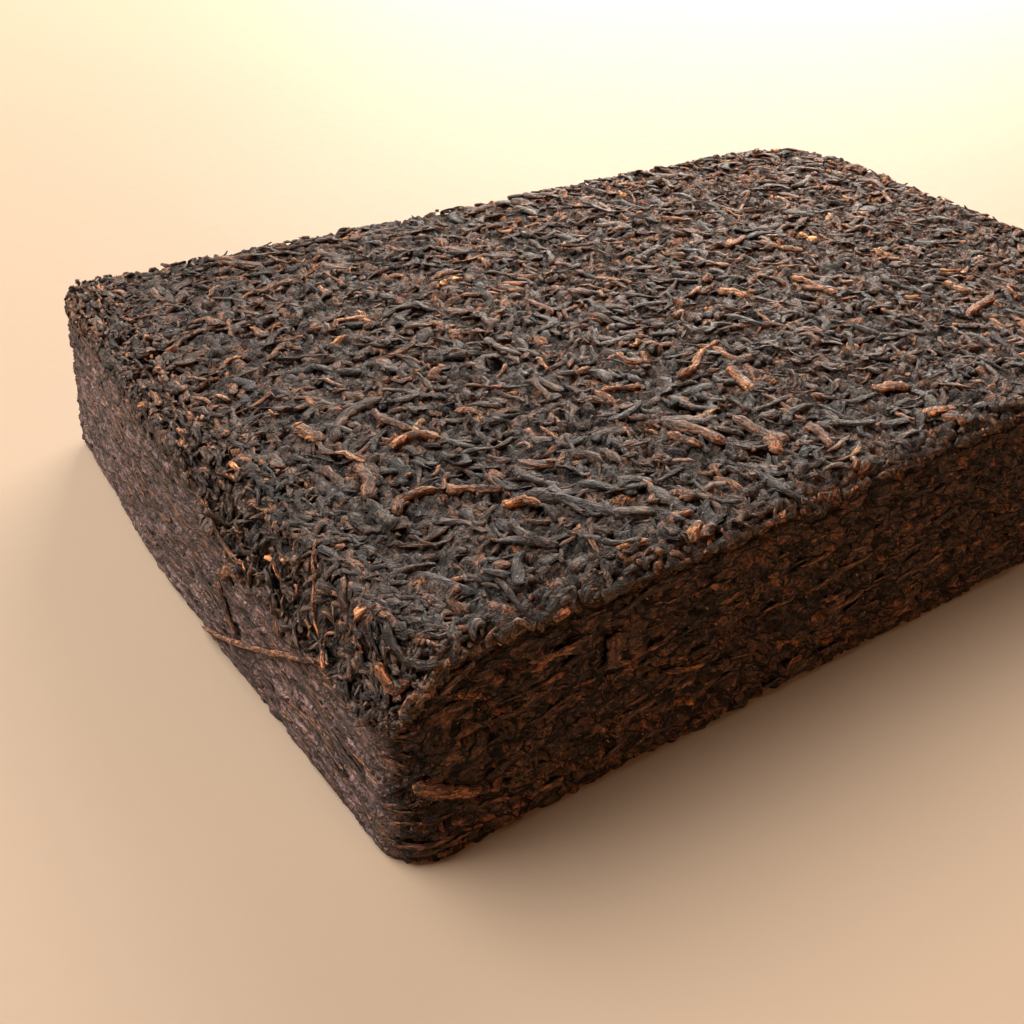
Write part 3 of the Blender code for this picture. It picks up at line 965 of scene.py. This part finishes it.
def wall_strands(rng, name, finish, count, span, length, width, sides, rings, heat, stand):
    """Thin leaves pressed flat into the walls, nearly level."""
    s_middle = rng.uniform(*span, count)
    short_end = s_middle > TURNS[3]
    z_part = rng.uniform(0.04, 0.97, count)
    full = rng.uniform(*length, count)
    stations = strand_stations(rings)
    slope = rng.normal(0.0, 0.16, count)
    turn = rng.normal(0.0, 0.35, count)
    way = slope[:, None] + turn[:, None] * stations
    step = np.gradient(stations) * full[:, None]
    s_line = s_middle[:, None] + np.cumsum(np.cos(way) * step, axis=1)
    rise = np.cumsum(np.sin(way) * step, axis=1)
    z_line = wall_top(s_middle)[:, None] * z_part[:, None] + rise
    z_line = np.clip(z_line, 0.5, wall_top(s_line) + 0.5)
    place, out = wall_frame(s_line, z_line)
    half_width = rng.uniform(*width, count)[:, None] / 2.0 * blunt_ends(stations, 4.0)
    half_thick = half_width * rng.uniform(0.3, 0.6, (count, 1))
    offset = rng.uniform(stand[0], stand[1], count) - 0.08 * short_end
    offset = offset[:, None] + rng.normal(0.0, 0.12, (count, 1)) * stations
    place = place + out * offset[..., None]
    roll = rng.uniform(-0.35, 0.35, (count, 1)) + rng.normal(0.0, 0.5, (count, 1)) * stations
    ceiling = np.maximum(0.36 - offset, 0.06)
    warmth = np.clip(rng.normal(heat[0], heat[1], count), 0.0, 1.0)
    light = rng.uniform(0.2, 1.0, count)
    return make_strands(
        name, finish, rng, place, out, half_width, half_thick, roll, ceiling, sides, warmth, light
    )


# ---- single stems and chips

# For each side: where a piece starts (along the side, then up it or in from the front), where it ends,
# how far it bows, its width, how flat it is, how far it stands out, its warmth and how light it is.
STRAYS = {
    "short_end": [
        # A long forked stem, a thin one under the shoulder, curled and flat russet bits
        (43.5, 0.6, 13.0, 16.6, 0.6, 0.65, 0.9, 0.5, 0.58, 1.3),
        (15.5, 15.4, 11.6, 17.4, -0.3, 0.4, 0.9, 0.5, 0.57, 1.2),
        (15.0, 15.8, 11.4, 16.0, 0.2, 0.35, 0.9, 0.5, 0.56, 1.1),
        (43.5, 21.4, 30.0, 16.8, 0.7, 0.6, 0.7, 0.3, 0.56, 0.8),
        (36.0, 12.2, 30.2, 15.6, -0.9, 1.3, 0.6, 0.3, 0.58, 0.75),
        (37.6, 11.2, 33.0, 6.4, 0.7, 1.1, 0.5, 0.22, 0.55, 0.6),
        (24.6, 17.2, 22.6, 13.2, -0.6, 1.6, 0.35, 0.2, 0.56, 0.6),
    ],
    "front": [
        # A broad chip low by the corner, an upright oval one, and thin stems
        (0.9, 10.4, 9.0, 6.6, 0.3, 1.7, 0.3, 0.16, 0.58, 0.5),
        (24.9, 18.4, 24.9, 14.9, 0.0, 1.9, 0.3, 0.2, 0.5, 0.45),
        (14.3, 19.4, 22.0, 19.2, -0.2, 0.7, 0.5, 0.14, 0.52, 0.55),
        (29.4, 14.2, 33.2, 15.3, 0.1, 0.6, 0.6, 0.16, 0.52, 0.6),
        (50.4, 3.0, 52.8, 3.3, 0.2, 0.9, 0.4, 0.14, 0.66, 0.6),
    ],
    "top": [
        # At the chipped corner: a grey-black strand, an orange stub, a pale curl and a golden hair
        (3.0, 6.4, 5.0, 0.0, -0.5, 0.85, 0.6, 0.9, 0.02, 1.3),
        (1.5, 5.6, 3.0, 1.8, -0.2, 1.1, 0.6, 0.9, 0.66, 0.85),
        (0.8, 0.2, 2.9, -1.0, 0.9, 0.8, 0.7, 0.9, 0.56, 0.9),
        (1.9, -0.9, 3.3, -1.6, 0.1, 0.65, 0.7, 0.8, 0.54, 0.8),
        (3.0, 20.0, 0.4, 13.0, 0.2, 0.3, 0.9, 1.3, 0.72, 1.4),
        # Over the open top: large stems, a golden bud, hooks and grey-black sticks
        (14.2, 36.6, 23.8, 42.6, 1.6, 1.3, 0.7, 0.1, 0.3, 0.8),
        (21.6, 41.0, 22.8, 34.4, -1.0, 1.1, 0.7, 0.1, 0.6, 0.8),
        (12.2, 41.6, 13.0, 37.4, 0.2, 1.8, 0.4, 0.1, 0.72, 0.8),
        (19.0, 32.2, 24.6, 31.2, 1.8, 1.2, 0.7, 0.1, 0.66, 0.85),
        (12.6, 20.6, 18.6, 22.4, 1.9, 1.4, 0.7, 0.1, 0.56, 0.8),
        (10.8, 24.0, 11.2, 18.6, 0.2, 1.7, 0.7, 0.1, 0.03, 1.0),
        (14.0, 31.4, 11.6, 24.8, 0.6, 1.5, 0.6, 0.1, 0.5, 0.7),
        (19.0, 21.6, 24.2, 18.8, 0.5, 1.1, 0.8, 0.15, 0.52, 1.0),
        (25.2, 17.0, 31.2, 8.6, 1.3, 1.6, 0.6, 0.1, 0.02, 1.0),
        (22.0, 14.0, 23.4, 7.6, -1.3, 1.2, 0.7, 0.2, 0.06, 1.0),
        (22.6, 16.4, 26.0, 14.4, 0.7, 1.2, 0.7, 0.15, 0.76, 0.95),
        (48.0, 21.0, 51.0, 13.4, 0.4, 1.4, 0.8, 0.15, 0.52, 1.0),
        (56.0, 17.4, 57.6, 9.6, -0.6, 1.5, 0.7, 0.15, 0.5, 0.9),
        (60.0, 12.6, 66.0, 14.4, 0.8, 1.2, 0.7, 0.15, 0.03, 1.0),
        (46.8, 18.5, 48.2, 14.2, 0.2, 1.3, 0.7, 0.15, 0.56, 1.0),
        (51.8, 29.2, 46.8, 30.8, 0.4, 1.1, 0.6, 0.12, 0.72, 0.9),
        (64.0, 27.0, 62.2, 20.8, 0.5, 1.3, 0.6, 0.12, 0.7, 0.9),
        (62.5, 30.8, 68.2, 33.2, 0.5, 0.9, 0.7, 0.12, 0.72, 0.95),
        (57.0, 28.5, 62.8, 31.5, -0.8, 1.2, 0.7, 0.15, 0.68, 0.9),
        (62.2, 11.5, 60.8, 6.0, 0.3, 1.2, 0.7, 0.15, 0.56, 1.0),
        (56.5, 12.8, 54.8, 8.5, 0.1, 1.8, 0.4, 0.1, 0.7, 0.8),
        # Farther off: broad russet and golden chips
        (75.8, 13.5, 80.0, 11.0, 0.4, 1.6, 0.5, 0.12, 0.72, 0.85),
        (76.0, 5.2, 81.0, 4.5, 0.3, 1.4, 0.5, 0.12, 0.7, 0.85),
        (78.8, 45.5, 81.2, 41.5, 0.4, 1.4, 0.5, 0.12, 0.72, 0.9),
        (91.5, 43.8, 93.0, 35.8, 0.3, 1.2, 0.6, 0.12, 0.72, 0.95),
        (96.2, 56.0, 99.8, 49.5, 0.2, 1.2, 0.6, 0.12, 0.72, 0.95),
        (103.0, 20.5, 112.2, 22.8, 0.8, 1.2, 0.7, 0.12, 0.72, 0.9),
        (110.0, 30.5, 109.5, 25.8, 0.2, 1.5, 0.5, 0.12, 0.7, 0.85),
    ],
}


def lay_strays(rng, name, finish):
    """The single stems and chips that stand out from the rest, each laid where it is named."""
    rings, sides = 15, 8
    part = np.linspace(0.0, 1.0, rings)
    places, outs = [], []
    strays = [(side, stray) for side, group in STRAYS.items() for stray in group]
    for side, stray in strays:
        start, run = np.array(stray[:2]), np.array(stray[2:4]) - np.array(stray[:2])
        bow, stand = stray[4], stray[7]
        sideways = np.array([-run[1], run[0]]) / np.linalg.norm(run)
        crook = np.cumsum(rng.normal(0.0, 0.07, rings)) * np.sin(math.pi * part)
        line = start + run * part[:, None] + sideways * (bow * np.sin(math.pi * part) + crook)[:, None]
        if side == "top":
            place, out, _ = skin_frame(line[:, 0] - LENGTH / 2.0, line[:, 1] - WIDTH / 2.0)
        elif side == "front":
            place, out = wall_frame(line[:, 0], line[:, 1])
        else:
            place, out = wall_frame(ROUND_TRIP - line[:, 0], line[:, 1])
        places.append(place + out * (stand - 0.12 + 0.1 * np.sin(7.0 * part + 40.0 * bow))[:, None])
        outs.append(out)
    width, flatness, _, warmth, light = np.array([stray[5:] for _, stray in strays]).T
    count = len(strays)
    swell = np.clip(rng.normal(1.0, 0.1, (count, rings)), 0.7, 1.3)
    profile = blunt_ends(part - 0.5, 12.0) * swell
    half_width = width[:, None] / 2.0 * profile
    half_thick = half_width * flatness[:, None]
    roll = rng.normal(0.0, 0.5, (count, 1)) * (part - 0.5)
    ceiling = np.full((count, rings), 1.0)
    place, out = np.array(places), np.array(outs)
    return make_strands(
        name, finish, rng, place, out, half_width, half_thick, roll, ceiling, sides, warmth, light
    )


# ---- set up

rng = np.random.default_rng(20260)
make_walls(rng)
make_top(rng)
dark_finish = leaf_finish("waxy_dark_leaf", 1.7, 0.58, 0.3, 0.3)
brown_finish = leaf_finish("matt_brown_leaf", 1.8, 0.62, 0.25, 0.3)
russet_finish = leaf_finish("russet_bud", 2.0, 0.62, 0.25, 0.26)
top_strands(rng, "dark_leaves", dark_finish, 1650, (1.9, 8.0), (0.7, 1.6), (0.4, 0.75), 6, 8,
            (0.19, 0.12), (-1.0, 0.1), 0.08, 0.9, 0.4)
top_strands(rng, "brown_leaves", brown_finish, 1650, (1.7, 7.0), (0.6, 1.5), (0.4, 0.75), 6, 8,
            (0.4, 0.11), (-1.0, 0.06), 0.1, 0.9, 0.38)
top_strands(rng, "russet_leaves", russet_finish, 680, (1.6, 6.5), (0.5, 1.25), (0.45, 0.8), 6, 7,
            (0.7, 0.12), (-0.7, 0.12), 0.14, 0.9, 0.4)
top_strands(rng, "fine_shreds", brown_finish, 1400, (1.4, 5.0), (0.3, 0.7), (0.5, 0.9), 5, 6,
            (0.36, 0.2), (-0.5, 0.22), 0.25, 0.9, 0.5)
top_strands(rng, "crumbs", brown_finish, 2600, (1.0, 3.2), (0.35, 1.0), (0.3, 0.8), 5, 4,
            (0.34, 0.15), (-0.6, 0.2), 0.6, 1.4, 0.55)
wall_strands(rng, "wall_leaves", brown_finish, 420, (0.0, TURNS[3]), (1.8, 6.5), (0.35, 1.1), 5, 8,
             (0.36, 0.12), (-0.3, -0.04))
short_end_span = (TURNS[3] + 4.0, ROUND_TRIP - 3.0)
wall_strands(rng, "end_fibres", brown_finish, 260, short_end_span, (2.5, 12.0), (0.25, 0.8), 5, 9,
             (0.44, 0.07), (-0.2, 0.06))
top_strands(rng, "shoulder_shreds", brown_finish, 900, (1.6, 5.0), (0.35, 0.95), (0.4, 0.8), 5, 6,
            (0.38, 0.15), (-0.5, 0.3), 1.0, 0.9, 0.6)
lay_strays(rng, "stems_and_chips", russet_finish)

# ---- floor, light and camera

floor_mesh = bpy.data.meshes.new("floor")
floor_corners = [(-3, -3, 0), (3, -3, 0), (3, 3, 0), (-3, 3, 0)]
floor_mesh.from_pydata(floor_corners, [], [(0, 1, 2, 3)])
floor_mesh.materials.append(floor_finish())
floor = add_to_scene("floor", floor_mesh)


def soft_light(name, place, size, power, colour):
    """A square soft light that faces the middle of the brick."""
    lamp = bpy.data.lights.new(name, "AREA")
    lamp.shape = "SQUARE"
    lamp.size = size
    lamp.energy = power
    lamp.color = colour
    light = add_to_scene(name, lamp)
    light.location = place
    toward = Vector((0.0, 0.0, 0.012)) - Vector(place)
    light.rotation_euler = toward.to_track_quat("-Z", "Y").to_euler()


soft_light("window", (-0.55, 0.5, 0.85), 1.1, 28.0, (1.0, 0.95, 0.9))
soft_light("sky", (0.42, 0.44, 0.28), 0.5, 8.5, (1.0, 0.9, 0.8))
soft_light("warm_bounce", (0.15, -0.7, 0.08), 0.5, 3.4, (1.0, 0.46, 0.18))

world = bpy.data.worlds.new("room")
world.use_nodes = True
background = world.node_tree.nodes["Background"].inputs
background["Color"].default_value = (1.0, 0.86, 0.74, 1.0)
background["Strength"].default_value = 0.06
scene.world = world
scene.view_settings.view_transform = "Standard"

# The camera looks down over the corner at -X, -Y, from the front left
NEAR_CORNER = Vector((low.x + 0.9 * MM, low.y + 0.4 * MM, 0.0))
CAMERA_OFFSET = Vector((-37.706, -65.988, 94.0)) * MM
HEADING = math.radians(36.4)
PITCH = math.radians(34.263)
ROLL = math.radians(3.347)
camera_data = bpy.data.cameras.new("camera")
camera_data.lens = 43.945
camera_data.clip_start = 0.005
camera = add_to_scene("camera", camera_data)
turn = Matrix.Rotation(-HEADING, 4, "Z") @ Matrix.Rotation(math.pi / 2.0 - PITCH, 4, "X")
turn = turn @ Matrix.Rotation(ROLL, 4, "Z")
camera.matrix_world = Matrix.Translation(NEAR_CORNER + CAMERA_OFFSET) @ turn
bpy.context.scene.camera = camera
